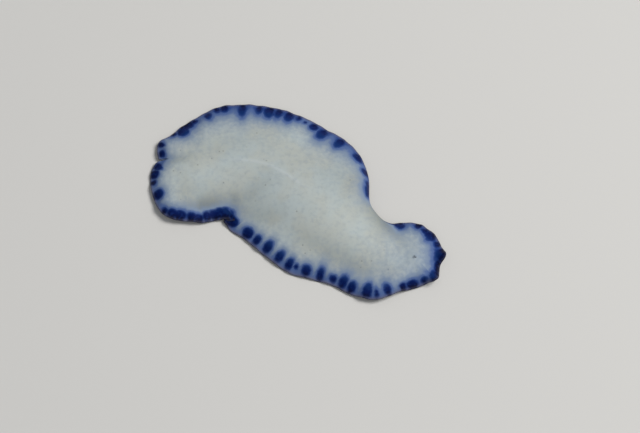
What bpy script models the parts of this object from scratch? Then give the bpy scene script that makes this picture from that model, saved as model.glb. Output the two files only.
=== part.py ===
# Pseudoceros indicus, a marine flatworm, crawling with its body bent in a loose S
# The head end is at +X, the animal's left side faces +Y, and it lies on z = 0
# Sizes below are millimetres, and angles are degrees, unless a name says otherwise
import math

import bmesh
import bpy
from mathutils import Matrix, Vector

MM = 0.001
SEAM = 0.3

# The spine: a curve in plan that starts at the tail's notch and bends twice
SPINE_START = (-15.21, 5.72)
SPINE_LENGTH = 30.0
TAIL_HEADING = 1.0
HIND_BEND = {"turn": -43.0, "start": 3.5, "end": 15.0}
NECK_BEND = {"turn": 27.0, "start": 18.5, "end": 27.5}
TAIL_POLE = 4.0
HEAD_POLE = 27.0

# The margin is one loop: from the notch along the left side to the head, and back along the right side
LEFT_TAIL_RUN = 8.0
SIDE_RUN = HEAD_POLE - TAIL_POLE
HEAD_RUN = 10.0
RIGHT_TAIL_RUN = 10.0
LOOP_RUN = LEFT_TAIL_RUN + SIDE_RUN + HEAD_RUN + SIDE_RUN + RIGHT_TAIL_RUN


def tail(angle):
    """Place on the loop at an angle from straight back, positive towards the left side."""
    if angle >= 0:
        return angle / 90 * LEFT_TAIL_RUN
    return LOOP_RUN + angle / 90 * RIGHT_TAIL_RUN


def left(distance):
    """Place on the loop beside a point of the spine, on the left side."""
    return LEFT_TAIL_RUN + distance - TAIL_POLE


def head(angle):
    """Place on the loop at an angle from straight ahead, positive towards the left side."""
    return LEFT_TAIL_RUN + SIDE_RUN + (90 - angle) / 180 * HEAD_RUN


def right(distance):
    """Place on the loop beside a point of the spine, on the right side."""
    return LOOP_RUN - RIGHT_TAIL_RUN - (distance - TAIL_POLE)


# How far the margin lies from the spine, seen from above
REACH = (
    (tail(0), 4.45), (tail(20), 4.82), (tail(38), 4.15), (tail(60), 4.2), (tail(75), 4.38),
    (left(4), 5.0), (left(5.2), 5.62), (left(7), 6.05), (left(10), 6.5), (left(14), 6.9),
    (left(16), 6.62), (left(18), 5.6), (left(20), 3.72), (left(21.5), 3.1), (left(23.3), 2.82),
    (left(25), 3.38), (head(90), 3.72), (head(65), 3.38), (head(40), 3.1), (head(18), 3.15),
    (head(5), 2.84), (head(-8), 2.85), (head(-24), 3.2), (head(-33), 3.13), (head(-42), 2.84),
    (head(-65), 2.7), (head(-90), 3.1), (right(25.2), 4.75), (right(23.5), 5.18), (right(22), 5.25),
    (right(20.5), 5.95), (right(19), 6.78), (right(16), 7.07), (right(13), 7.08), (right(10), 7.05),
    (right(8.4), 6.64), (right(7), 5.97), (right(5.6), 6.25), (right(4), 6.5), (tail(-78), 6.6),
    (tail(-58), 6.95), (tail(-35), 6.13), (tail(-12), 5.3), (tail(-4), 4.75),
)

# The back's height over the spine: low at both ends, highest where the body narrows to the neck
TAIL_CREST, TOP_CREST, HEAD_CREST = 1.4, 2.4, 1.45
CREST_PLACE = 17.0

# How steeply the body's top falls at the margin, and how far out its back stays level
DROOP = (
    (tail(0), 16), (left(6), 16), (left(14), 20), (left(17), 45), (left(19.5), 82), (left(23.3), 82),
    (left(25.2), 30), (head(70), 16), (head(0), 14), (right(26), 16), (right(20), 15), (right(10), 14),
)
SHOULDER = (
    (tail(0), 0.4), (left(6), 0.45), (left(14), 0.5), (left(17), 0.6), (left(19.5), 0.75),
    (left(23.3), 0.75), (left(25.2), 0.5), (head(70), 0.4), (head(0), 0.4), (right(26), 0.35),
    (right(20), 0.3), (right(10), 0.32),
)
SKIRT = 0.3

# The margin: its thickness, the height of its edge where it lies down, and where it lifts off the ground
MARGIN_THICK = 0.5
MARGIN_DEPTH = 1.2
EDGE_HEIGHT = 0.52
RIM_BULGE = 0.12
RUFFLES = (
    {"place": tail(22), "width": 2.2, "lift": 0.35},
    {"place": left(7), "width": 3.0, "lift": 0.25},
    {"place": left(14.5), "width": 2.6, "lift": 0.35},
    {"place": head(70), "width": 2.2, "lift": 0.3},
    {"place": right(25.5), "width": 1.8, "lift": 0.5},
    {"place": right(15.5), "width": 2.4, "lift": 0.1},
    {"place": tail(-62), "width": 3.0, "lift": 0.5},
)

# The fold: behind the hind bend the tail's right margin rises and laps over the margin ahead of it
LAP_END = right(7.3)
LAP_RUN = 2.2
LAP_SWEEP = 0.75
LAP_LIFT = 0.8
LAP_GAP = 0.45

# The pseudotentacles: two folds of the front margin that stand up like small ears
TENTACLE_LEFT = head(20)
TENTACLE_RIGHT = head(-31)
TENTACLE_HALF_RUN = 0.8
TENTACLE_WIDTH = 0.5
TENTACLE_LIFT = 0.9
UNDER_FOLD = 0.35

# Small pieces: where each lies along the spine, its radius and height, and how far it is drawn out
EYES = {"place": 27.2, "radius": 0.32, "height": 0.45, "stretch": 1.0}
SUCKER = {"place": 14.0, "radius": 0.8, "height": 0.5, "stretch": 1.0}
MOUTH = {"place": 21.6, "radius": 0.6, "height": 0.4, "stretch": 1.6}
EYES_SUNK = 0.9
DOME_SHARE = 0.25
ROUND_SIDES = 20

# Where the body is cut across, along the spine
TAIL_CUT, HIND_CUT, MID_CUT, FORE_CUT, NECK_CUT = 6.4, 10.7, 15.2, 19.8, 24.3
LEFT_LOBE_CUT, RIGHT_LOBE_CUT = 56, -50

# Colours, as linear red, green and blue
CORE_COLOUR = (0.62, 0.66, 0.63)
MARGIN_COLOUR = (0.012, 0.03, 0.16)
TENTACLE_COLOUR = (0.006, 0.045, 0.22)
EYE_COLOUR = (0.05, 0.06, 0.07)
PAD_COLOUR = (0.55, 0.56, 0.52)

# Mesh steps
SPINE_STEP = 0.1
RIB_SAMPLES = 48
CORE_STEP = 0.6
CORE_COLUMNS = 7
MARGIN_STEP = 0.45
TENTACLE_STEP = 0.2
MARGIN_COLUMNS = 3
ROUNDING = 0.001


def smooth(x):
    x = min(max(x, 0.0), 1.0)
    return x * x * (3 - 2 * x)


def heading(distance):
    """Direction of the spine in radians."""
    angle = TAIL_HEADING
    for bend in (HIND_BEND, NECK_BEND):
        angle += bend["turn"] * smooth((distance - bend["start"]) / (bend["end"] - bend["start"]))
    return math.radians(angle)


def crest(distance):
    """Height of the back over the spine."""
    if distance < CREST_PLACE:
        rise = smooth((distance - TAIL_POLE) / (CREST_PLACE - TAIL_POLE))
        return TAIL_CREST + (TOP_CREST - TAIL_CREST) * rise
    fall = smooth((distance - CREST_PLACE) / (HEAD_POLE - CREST_PLACE))
    return TOP_CREST + (HEAD_CREST - TOP_CREST) * fall


def trace_spine():
    points = [Vector(SPINE_START)]
    for i in range(round(SPINE_LENGTH / SPINE_STEP)):
        angle = heading((i + 0.5) * SPINE_STEP)
        points.append(points[-1] + SPINE_STEP * Vector((math.cos(angle), math.sin(angle))))
    return points


SPINE = trace_spine()


def spine_point(distance):
    index = min(int(distance / SPINE_STEP), len(SPINE) - 2)
    return SPINE[index].lerp(SPINE[index + 1], distance / SPINE_STEP - index)


def through(stations, x, loop=0.0):
    """Value at x of a smooth curve through (place, value) stations, closed if a loop length is given."""
    known = list(stations)
    if loop:
        x = x % loop
        before = [(place - loop, value) for place, value in known[-2:]]
        after = [(place + loop, value) for place, value in known[:2]]
        known = before + known + after
    x = min(max(x, known[0][0]), known[-1][0])
    i = max(k for k in range(len(known) - 1) if known[k][0] <= x)
    slopes = []
    for k in (i, i + 1):
        low, high = max(k - 1, 0), min(k + 1, len(known) - 1)
        slopes.append((known[high][1] - known[low][1]) / (known[high][0] - known[low][0]))
    span = known[i + 1][0] - known[i][0]
    t = (x - known[i][0]) / span
    start = (1 + 2 * t) * (1 - t) ** 2 * known[i][1] + t * (1 - t) ** 2 * span * slopes[0]
    end = t * t * (3 - 2 * t) * known[i + 1][1] - t * t * (1 - t) * span * slopes[1]
    return start + end


def bump(run, place, width):
    """A smooth swelling round a place on the loop, 1 at its middle."""
    away = (run - place + LOOP_RUN / 2) % LOOP_RUN - LOOP_RUN / 2
    return math.exp(-(away / width) ** 2)


def edge_lift(run):
    return sum(ruffle["lift"] * bump(run, ruffle["place"], ruffle["width"]) for ruffle in RUFFLES)


def tentacle_lift(run):
    folds = sum(bump(run, place, TENTACLE_WIDTH) for place in (TENTACLE_LEFT, TENTACLE_RIGHT))
    return TENTACLE_LIFT * folds


def lap(run):
    """How far the tail's right margin has risen into its fold, 1 where it ends over the next margin."""
    if run < LAP_END:
        return 0.0
    return smooth(1 - (run - LAP_END) / LAP_RUN)


class Rib:
    """One line of the body's surface, from the spine straight out to the margin."""

    def __init__(self, run, shift=0.0):
        self.run = run % LOOP_RUN
        distance, turn = self.stand()
        self.distance = distance
        angle = heading(distance) + math.radians(turn)
        self.out = Vector((math.cos(angle), math.sin(angle)))
        self.along = Vector((self.out.y, -self.out.x))
        self.root = spine_point(distance) + shift * self.along
        self.shift = shift
        self.reach = through(REACH, self.run, LOOP_RUN)
        self.droop = math.radians(through(DROOP, self.run, LOOP_RUN))
        self.edge = EDGE_HEIGHT + edge_lift(self.run)
        back = crest(distance)
        shoulder = self.reach * through(SHOULDER, self.run, LOOP_RUN)
        skirt = SKIRT * self.reach
        below = (self.reach - skirt * math.cos(self.droop), self.edge + skirt * math.sin(self.droop))
        self.controls = ((0, back), (shoulder, back), below, (self.reach, self.edge))
        self.from_margin = [0.0]
        last = self.profile(1.0)
        for i in range(RIB_SAMPLES):
            point = self.profile(1 - (i + 1) / RIB_SAMPLES)
            self.from_margin.append(self.from_margin[-1] + math.dist(last, point))
            last = point

    def stand(self):
        """Where the rib leaves the spine, and how far it is turned from the spine's heading."""
        run = self.run
        if run < LEFT_TAIL_RUN:
            return TAIL_POLE, 180 - 90 * run / LEFT_TAIL_RUN
        run -= LEFT_TAIL_RUN
        if run < SIDE_RUN:
            return TAIL_POLE + run, 90
        run -= SIDE_RUN
        if run < HEAD_RUN:
            return HEAD_POLE, 90 - 180 * run / HEAD_RUN
        run -= HEAD_RUN
        if run < SIDE_RUN:
            return HEAD_POLE - run, -90
        return TAIL_POLE, -90 - 90 * (run - SIDE_RUN) / RIGHT_TAIL_RUN

    def root_key(self):
        """The same for every rib that leaves the spine at one point."""
        ahead = Vector((math.cos(heading(self.distance)), math.sin(heading(self.distance))))
        return round(self.distance, 4), round(self.shift * self.along.dot(ahead), 4)

    def profile(self, t):
        weights = ((1 - t) ** 3, 3 * t * (1 - t) ** 2, 3 * t * t * (1 - t), t ** 3)
        return tuple(sum(w * c[axis] for w, c in zip(weights, self.controls)) for axis in (0, 1))

    def margin_share(self, depth):
        """The rib's parameter at a depth in from the margin, measured along the surface."""
        for i in range(RIB_SAMPLES):
            if self.from_margin[i + 1] >= depth:
                part = (depth - self.from_margin[i]) / (self.from_margin[i + 1] - self.from_margin[i])
                return 1 - (i + part) / RIB_SAMPLES
        return 0.0

    def nearness(self, t):
        """How far across the margin band t lies, from 0 at its inner edge to 1 at the rim."""
        band = self.margin_share(MARGIN_DEPTH)
        return smooth((t - band) / (1 - band))

    def place(self, reach, height, t):
        """A point of the surface, with the fold's lift and sweep, which fade out across the margin."""
        near, risen = self.nearness(t), lap(self.run)
        plan = self.root + reach * self.out - LAP_SWEEP * risen * near ** 1.5 * self.along
        return Vector((plan.x, plan.y, max(height + LAP_LIFT * risen * near ** 0.5, 0.0)))

    def fold(self, t):
        """How much of a pseudotentacle's lift is left at t, none where the margin band ends."""
        return tentacle_lift(self.run) * self.nearness(t)

    def top(self, t):
        reach, height = self.profile(t)
        return self.place(reach, height + self.fold(t), t)

    def bottom(self, t):
        reach = self.profile(t)[0] * (1 - MARGIN_THICK * math.sin(self.droop) / self.reach)
        rise = max(self.edge - MARGIN_THICK * math.cos(self.droop), 0.0)
        return self.place(reach, rise * smooth(2 * t - 1) + UNDER_FOLD * self.fold(t), t)

    def rim(self):
        middle = (self.top(1.0) + self.bottom(1.0)) / 2
        bulge = Vector((self.out.x, self.out.y, 0)) * math.cos(self.droop)
        return middle + RIM_BULGE * (bulge - Vector((0, 0, math.sin(self.droop))))


def closed_sheet(name, strips, shares, rim):
    """A closed solid from strips of ribs: a top, a bottom and walls round its free edges."""
    mesh = bmesh.new()
    columns = {}

    def column(rib, share, at_margin):
        key = rib.root_key() if share == 0 else (rib.run, rib.shift, share)
        if key not in columns:
            points = [rib.top(share), rib.bottom(share)]
            if rim and at_margin:
                points.insert(1, rib.rim())
            columns[key] = [mesh.verts.new(point * MM) for point in points]
        return key

    edges = {}
    for ribs in strips:
        grid = []
        for rib in ribs:
            row = shares(rib)
            grid.append([column(rib, share, share == row[-1]) for share in row])
        for first, second in zip(grid, grid[1:]):
            for j in range(len(first) - 1):
                corners = [first[j], second[j], second[j + 1], first[j + 1]]
                corners = [key for k, key in enumerate(corners) if key != corners[k - 1]]
                for k in range(1, len(corners) - 1):
                    facet = (corners[0], corners[k], corners[k + 1])
                    mesh.faces.new([columns[key][0] for key in facet])
                    mesh.faces.new([columns[key][-1] for key in reversed(facet)])
                for k, key in enumerate(corners):
                    edges[(corners[k - 1], key)] = True
    for start, end in edges:
        if (end, start) in edges:
            continue
        a, b = columns[start], columns[end]
        if len(a) == 3 and len(b) == 3:
            mesh.faces.new((b[0], a[0], a[1], b[1]))
            mesh.faces.new((b[1], a[1], a[2], b[2]))
        else:
            mesh.faces.new([b[0]] + a + b[:0:-1])
    bmesh.ops.triangulate(mesh, faces=mesh.faces)
    data = bpy.data.meshes.new(name)
    mesh.to_mesh(data)
    mesh.free()
    return data


def stations(places, step, cut_start=True, cut_end=True):
    """Ribs along the loop through the given places, held half a seam clear of each cut."""
    runs = [places[0]]
    for start, end in zip(places, places[1:]):
        count = max(math.ceil((end - start) / step - ROUNDING), 1)
        runs += [start + (end - start) * (i + 1) / count for i in range(count)]
    first = Rib(runs[0], SEAM / 2 * cut_start)
    last = Rib(runs[-1], -SEAM / 2 * cut_end)
    return [first] + [Rib(run) for run in runs[1:-1]] + [last]


def core_shares(rib):
    edge = rib.margin_share(MARGIN_DEPTH + SEAM)
    return [edge * j / CORE_COLUMNS for j in range(CORE_COLUMNS + 1)]


def margin_shares(rib):
    edge = rib.margin_share(MARGIN_DEPTH)
    return [edge + (1 - edge) * j / MARGIN_COLUMNS for j in range(MARGIN_COLUMNS + 1)]


def finish(data, material):
    """An object from a mesh, smooth over its rounds, with its own colour."""
    data.shade_smooth()
    data.set_sharp_from_angle(angle=math.radians(40))
    data.materials.append(material)
    piece = bpy.data.objects.new(data.name, data)
    bpy.context.scene.collection.objects.link(piece)
    return piece


def skin_material(name, colour, roughness):
    material = bpy.data.materials.new(name)
    material.use_nodes = True
    shader = material.node_tree.nodes["Principled BSDF"]
    shader.inputs["Base Color"].default_value = (*colour, 1)
    shader.inputs["Roughness"].default_value = roughness
    shader.inputs["Metallic"].default_value = 0.0
    return material


def core_piece(name, start, end):
    """A length of the body between two points of the spine, without its margin."""
    strips = []
    if start is None:
        ribs = stations([right(end), right(TAIL_POLE), LOOP_RUN], CORE_STEP, cut_end=False)
        strips.append(ribs + stations([0, left(TAIL_POLE), left(end)], CORE_STEP, cut_start=False)[1:])
    elif end is None:
        around = [left(start), left(HEAD_POLE), right(HEAD_POLE), right(start)]
        strips.append(stations(around, CORE_STEP))
    else:
        strips.append(stations([left(start), left(end)], CORE_STEP))
        strips.append(stations([right(end), right(start)], CORE_STEP))
    return finish(closed_sheet(name, strips, core_shares, False), skin_material(name, CORE_COLOUR, 0.35))


def margin_piece(name, start, end, colour=None, step=MARGIN_STEP):
    """A length of the blue margin between two places on the loop."""
    data = closed_sheet(name, [stations([start, end], step)], margin_shares, True)
    return finish(data, skin_material(name, colour or MARGIN_COLOUR, 0.3))


def turned(name, radius, height, dome, stretch):
    """A round pad with a domed top, drawn out along X."""
    mesh = bmesh.new()
    turns = [2 * math.pi * k / ROUND_SIDES for k in range(ROUND_SIDES)]
    loops = []
    for size, level in ((radius, 0.0), (radius, height - dome), (0.8 * radius, height - 0.4 * dome)):
        loops.append([mesh.verts.new((size * stretch * math.cos(a) * MM, size * math.sin(a) * MM, level * MM))
                      for a in turns])
    for low, high in zip(loops, loops[1:]):
        for k in range(ROUND_SIDES):
            mesh.faces.new((low[k - 1], low[k], high[k], high[k - 1]))
    mesh.faces.new(list(reversed(loops[0])))
    tip = mesh.verts.new((0, 0, height * MM))
    for k in range(ROUND_SIDES):
        mesh.faces.new((loops[-1][k - 1], loops[-1][k], tip))
    data = bpy.data.meshes.new(name)
    mesh.to_mesh(data)
    mesh.free()
    return data


def pocket(host, size, room):
    """Cut room for a small piece out of the body between two heights, a seam wider all round."""
    wide = (size["radius"] * size["stretch"] + SEAM, size["radius"] + SEAM)
    data = turned(host.name + "_pocket", 1.0, 1.0, 0.0, 1.0)
    data.transform(Matrix.Diagonal((*wide, room[1] - room[0], 1)))
    cutter = bpy.data.objects.new(data.name, data)
    bpy.context.scene.collection.objects.link(cutter)
    cutter.hide_render = True
    cutter.display_type = "WIRE"
    cut = host.modifiers.new("pocket", "BOOLEAN")
    cut.object = cutter
    cut.operation = "DIFFERENCE"
    cut.solver = "EXACT"
    return cutter


def pad_piece(name, host, size, level, room, colour):
    """A small round piece that stands at a level, let into the body."""
    data = turned(name, size["radius"], size["height"], DOME_SHARE * size["height"], size["stretch"])
    piece = finish(data, skin_material(name, colour, 0.4))
    cutter = pocket(host, size, room)
    centre = spine_point(size["place"])
    for thing, low in ((piece, level), (cutter, room[0])):
        thing.location = (centre.x * MM, centre.y * MM, low * MM)
        thing.rotation_euler.z = heading(size["place"])
    return [piece, cutter]


def build():
    for thing in list(bpy.data.objects):
        bpy.data.objects.remove(thing)
    tail_core = core_piece("tail", None, TAIL_CUT)
    hind = core_piece("hind_body", TAIL_CUT, HIND_CUT)
    mid = core_piece("mid_body", HIND_CUT, MID_CUT)
    fore = core_piece("fore_body", MID_CUT, FORE_CUT)
    neck = core_piece("neck", FORE_CUT, NECK_CUT)
    head_core = core_piece("head", NECK_CUT, None)
    pieces = [tail_core, hind, mid, fore, neck, head_core]

    fold_left = (TENTACLE_LEFT - TENTACLE_HALF_RUN, TENTACLE_LEFT + TENTACLE_HALF_RUN)
    fold_right = (TENTACLE_RIGHT - TENTACLE_HALF_RUN, TENTACLE_RIGHT + TENTACLE_HALF_RUN)
    pieces += [
        margin_piece("margin_left_lobe", 0, tail(LEFT_LOBE_CUT)),
        margin_piece("margin_left_tail", tail(LEFT_LOBE_CUT), left(TAIL_CUT)),
        margin_piece("margin_left_hind", left(TAIL_CUT), left(HIND_CUT)),
        margin_piece("margin_left_mid", left(HIND_CUT), left(MID_CUT)),
        margin_piece("margin_left_fore", left(MID_CUT), left(FORE_CUT)),
        margin_piece("margin_left_neck", left(FORE_CUT), left(NECK_CUT)),
        margin_piece("margin_left_head", left(NECK_CUT), fold_left[0]),
        margin_piece("pseudotentacle_left", *fold_left, TENTACLE_COLOUR, TENTACLE_STEP),
        margin_piece("margin_front", fold_left[1], fold_right[0], step=2 * TENTACLE_STEP),
        margin_piece("pseudotentacle_right", *fold_right, TENTACLE_COLOUR, TENTACLE_STEP),
        margin_piece("margin_right_head", fold_right[1], right(NECK_CUT)),
        margin_piece("margin_right_neck", right(NECK_CUT), right(FORE_CUT)),
        margin_piece("margin_right_fore", right(FORE_CUT), right(MID_CUT)),
        margin_piece("margin_right_mid", right(MID_CUT), right(HIND_CUT)),
        margin_piece("margin_right_hind", right(HIND_CUT), LAP_END - LAP_GAP),
        margin_piece("margin_right_tail", LAP_END, tail(RIGHT_LOBE_CUT)),
        margin_piece("margin_right_lobe", tail(RIGHT_LOBE_CUT), LOOP_RUN),
    ]
    level = crest(EYES["place"]) - EYES_SUNK * EYES["height"]
    room = (level - SEAM, level + 2 * EYES["height"])
    pieces += pad_piece("cerebral_eyes", head_core, EYES, level, room, EYE_COLOUR)
    pieces += pad_piece("ventral_sucker", mid, SUCKER, 0, (-SEAM, SUCKER["height"] + SEAM), PAD_COLOUR)
    pieces += pad_piece("mouth", neck, MOUTH, 0, (-SEAM, MOUTH["height"] + SEAM), PAD_COLOUR)

    # The origin is under the middle of the footprint
    frame = bpy.data.objects.new("flatworm", None)
    bpy.context.scene.collection.objects.link(frame)
    corners = [piece.matrix_basis @ vertex.co for piece in pieces if not piece.hide_render
               for vertex in piece.data.vertices]
    for axis in (0, 1):
        spread = [corner[axis] for corner in corners]
        frame.location[axis] = -(min(spread) + max(spread)) / 2
    for piece in pieces:
        piece.parent = frame


build()
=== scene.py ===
import math

import bpy
import numpy as np
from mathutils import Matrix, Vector
from mathutils.bvhtree import BVHTree


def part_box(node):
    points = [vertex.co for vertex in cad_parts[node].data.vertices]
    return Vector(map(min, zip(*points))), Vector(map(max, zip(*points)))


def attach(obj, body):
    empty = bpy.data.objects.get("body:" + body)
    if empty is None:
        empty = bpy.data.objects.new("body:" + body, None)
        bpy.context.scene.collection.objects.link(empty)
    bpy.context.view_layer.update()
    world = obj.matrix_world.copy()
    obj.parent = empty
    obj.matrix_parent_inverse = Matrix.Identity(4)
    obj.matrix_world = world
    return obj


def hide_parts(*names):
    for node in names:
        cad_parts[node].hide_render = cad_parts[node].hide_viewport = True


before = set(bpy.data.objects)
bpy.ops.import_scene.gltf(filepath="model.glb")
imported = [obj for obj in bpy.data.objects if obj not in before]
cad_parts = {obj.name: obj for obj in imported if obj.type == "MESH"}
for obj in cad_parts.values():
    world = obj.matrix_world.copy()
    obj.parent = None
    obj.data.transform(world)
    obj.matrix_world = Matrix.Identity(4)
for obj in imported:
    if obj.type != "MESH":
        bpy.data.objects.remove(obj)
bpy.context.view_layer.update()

# A white flatworm with a blue spotted margin, crawling over a pale floor
# Body sizes are in millimetres until a mesh is made, and angles are in degrees

mm = 0.001

# The body's plan: a spine with two bends, and a loop round it that places are counted along
spine = {
    "start": (-15.21, 5.72),
    "length": 30.0,
    "heading": 1.0,
    "hindTurn": (-43.0, 3.5, 15.0),   # degrees, from and to along the spine
    "neckTurn": (27.0, 18.5, 27.5),
    "tailPole": 4.0,
    "headPole": 27.0,
    "step": 0.1,
}
loop = {"leftTail": 8.0, "head": 10.0, "rightTail": 10.0}   # its lengths round the two ends
loop["side"] = spine["headPole"] - spine["tailPole"]
loop["all"] = loop["leftTail"] + loop["head"] + loop["rightTail"] + 2 * loop["side"]


def tail(angle):  # from straight back, positive to the left side
    return angle / 90 * loop["leftTail"] if angle >= 0 else loop["all"] + angle / 90 * loop["rightTail"]


def left(distance):  # along the spine
    return loop["leftTail"] + distance - spine["tailPole"]


def head(angle):  # from straight ahead, positive to the left side
    return loop["leftTail"] + loop["side"] + (90 - angle) / 180 * loop["head"]


def right(distance):
    return loop["all"] - loop["rightTail"] - (distance - spine["tailPole"])


body = {
    "reach": (  # place, and how far out from the spine the margin lies
        (tail(0), 4.45), (tail(20), 4.82), (tail(38), 4.2), (tail(60), 4.3), (tail(75), 4.47),
        (left(4), 5.08), (left(5.2), 5.67), (left(7), 6.08), (left(10), 6.57), (left(12.6), 6.7),
        (left(14), 6.87), (left(16), 6.62), (left(18), 5.6), (left(20), 3.67), (left(21.5), 3.03),
        (left(23.3), 2.77), (left(25), 3.38), (head(90), 3.69), (head(78), 3.43), (head(65), 3.37),
        (head(40), 3.14), (head(30), 3.23), (head(18), 3.22), (head(5), 2.78), (head(-8), 2.85),
        (head(-24), 3.16), (head(-33), 3.11), (head(-42), 2.8), (head(-65), 2.76), (head(-90), 3.24),
        (right(25.2), 4.84), (right(23.5), 5.18), (right(22), 5.25), (right(20.5), 5.95),
        (right(19), 6.78), (right(16), 7.07), (right(13), 7.08), (right(10), 7.05), (right(8.4), 6.56),
        (right(7), 6.1), (right(5.6), 6.2), (right(4), 6.5), (tail(-78), 6.6), (tail(-58), 6.93),
        (tail(-35), 6.07), (tail(-12), 5.23), (tail(-4), 4.75),
    ),
    "droop": (  # place, and how steeply the margin comes down
        (tail(0), 16), (left(6), 16), (left(14), 20), (left(17), 45), (left(19.5), 82),
        (left(23.3), 82), (left(25.2), 30), (head(70), 16), (head(0), 14), (right(26), 16),
        (right(20), 15), (right(10), 14),
    ),
    "shoulder": (  # place, and the share of the reach before the back turns down
        (tail(0), 0.4), (left(6), 0.45), (left(14), 0.5), (left(17), 0.6), (left(19.5), 0.75),
        (left(23.3), 0.75), (left(25.2), 0.5), (head(70), 0.4), (head(0), 0.4), (right(26), 0.35),
        (right(20), 0.3), (right(10), 0.32),
    ),
    "skirt": 0.3,            # share of the reach that follows the droop
    "tailCrest": 1.4,        # heights of the back along the spine
    "topCrest": 2.4,
    "headCrest": 1.45,
    "crestPlace": 17.0,
    "edgeHeight": 0.52,
    "edgeThins": 0.25,       # how much the living margin thins below the solid's
    "thinDepth": 1.1,
    "rimThick": 0.22,
    "lowestRim": 0.03,
}
ruffles = (  # place, width and lift of the margin's waves
    (tail(22), 2.2, 0.35),
    (left(7), 3.0, 0.25),
    (left(14.5), 2.6, 0.35),
    (head(70), 2.2, 0.3),
    (right(25.5), 1.8, 0.5),
    (right(15.5), 2.4, 0.1),
    (tail(-62), 3.0, 0.5),
)
ruffleDepth = 3.2
frill = {"height": 0.045, "depth": 1.3, "waves": ((41, 0.6), (25, 2.2), (62, 4.1))}  # counts and phases
lap = {
    "end": right(7.3),
    "run": 2.2,
    "sweep": 0.85,           # how far the flap reaches towards the head, over the next margin
    "lift": 0.55,
    "back": 0.45,
    "depth": 1.2,
    "tuck": 0.42,            # how far the next margin runs back under the flap
    "tuckWidth": 2.4,
    "liftPower": 0.5,
    "slidePower": 1.5,
}
underLap = lap["end"] - lap["back"]
tentacles = {
    "left": head(20),
    "right": head(-31),
    "width": 0.62,
    "lift": 0.85,
    "depth": 1.15,
    "span": 1.0,             # fine ribs reach this far past each
    "calmSpan": 1.6,         # the back behind them follows the margin's mean reach over this span
    "calmSamples": 9,
    "calmWidth": 2.2,
    "calmDepth": 1.2,
}
notch = {  # the slit between the tail's lobes
    "deep": 0.43,
    "width": 0.085,
    "reach": 1.2,
    "fine": 0.45,
    "step": 0.03,
    "paleWidth": 0.2,
    "spotsPale": 0.9,
    "washPales": 0.6,
}


def smooth(x):
    x = np.clip(x, 0.0, 1.0)
    return x * x * (3 - 2 * x)


def heading(distance):
    angle = spine["heading"]
    for turn, start, end in (spine["hindTurn"], spine["neckTurn"]):
        angle = angle + turn * smooth((distance - start) / (end - start))
    return np.radians(angle)


spineSteps = np.arange(0, spine["length"] + spine["step"] / 2, spine["step"])
middles = heading(spineSteps[:-1] + spine["step"] / 2)
spineX = np.concatenate([[0], np.cumsum(spine["step"] * np.cos(middles))]) + spine["start"][0]
spineY = np.concatenate([[0], np.cumsum(spine["step"] * np.sin(middles))]) + spine["start"][1]


def spinePoint(distance):
    return np.stack([np.interp(distance, spineSteps, spineX), np.interp(distance, spineSteps, spineY)], -1)


def through(stations, x):  # a smooth closed curve through (place, value) stations
    known = list(stations)
    known = ([(place - loop["all"], value) for place, value in known[-2:]] + known
             + [(place + loop["all"], value) for place, value in known[:2]])
    places = np.array([place for place, _ in known])
    values = np.array([value for _, value in known])
    slopes = np.zeros(len(known))
    slopes[1:-1] = (values[2:] - values[:-2]) / (places[2:] - places[:-2])
    i = np.clip(np.searchsorted(places, x, side="right") - 1, 1, len(places) - 3)
    span = places[i + 1] - places[i]
    t = (x - places[i]) / span
    start = (1 + 2 * t) * (1 - t) ** 2 * values[i] + t * (1 - t) ** 2 * span * slopes[i]
    return start + t * t * (3 - 2 * t) * values[i + 1] - t * t * (1 - t) * span * slopes[i + 1]


def bump(run, place, width):
    away = (run - place + loop["all"] / 2) % loop["all"] - loop["all"] / 2
    return np.exp(-(away / width) ** 2)


def byTentacles(run, width):
    return sum(bump(run, tentacles[name], width) for name in ("left", "right"))


def axesAt(distance):  # forward along the spine and to its left, in plan
    aim = heading(distance)
    return np.array([np.cos(aim), np.sin(aim)]), np.array([-np.sin(aim), np.cos(aim)])


def crest(distance):
    rise = smooth((distance - spine["tailPole"]) / (body["crestPlace"] - spine["tailPole"]))
    fall = smooth((distance - body["crestPlace"]) / (spine["headPole"] - body["crestPlace"]))
    back = body["tailCrest"] + (body["topCrest"] - body["tailCrest"]) * rise
    return back + (body["headCrest"] - body["topCrest"]) * fall


def ribStand(run):  # where ribs leave the spine, and their direction
    ends = np.cumsum([loop["leftTail"], loop["side"], loop["head"], loop["side"]])
    past = run - np.concatenate([[0], ends])[:, None]
    parts = [run < end for end in ends]
    distance = np.select(parts, [spine["tailPole"] + 0 * run, spine["tailPole"] + past[1],
                                 spine["headPole"] + 0 * run, spine["headPole"] - past[3]], spine["tailPole"])
    turn = np.select(parts, [180 - 90 * past[0] / loop["leftTail"], 90.0 + 0 * run,
                             90 - 180 * past[2] / loop["head"], -90.0 + 0 * run],
                     -90 - 90 * past[4] / loop["rightTail"])
    return distance, heading(distance) + np.radians(turn)


print("plan ready")

# The skin's mesh: a ring of ribs, each with a top, a rounded rim and an underside
skinMesh = {
    "sideStep": 0.11,
    "fineStep": 0.035,       # through the fold
    "pastFold": 0.15,
    "tentacleStep": 0.045,
    "fanStep": 0.1,
    "marginDepth": 1.7,      # the margin's own columns reach this far in
    "marginColumns": 22,
    "backColumns": 28,
    "crowding": 1.25,        # columns crowd towards the margin and the spine
    "rimColumns": 3,
    "soleColumns": 12,
    "middleColumns": 12,
    "soleMiddle": 0.22,
    "samples": 160,
    "slack": 0.001,
}


def steps(start, end, step):  # even steps, none longer than this step
    count = max(int(math.ceil(abs(end - start) / step - skinMesh["slack"])), 1)
    return list(np.linspace(start, end, count + 1))


def stretches(ends, sizes):  # places from end to end, each stretch with its own step
    places = [ends[0]]
    for start, end, step in zip(ends, ends[1:], sizes):
        places += steps(start, end, step)[1:]
    return places


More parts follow.
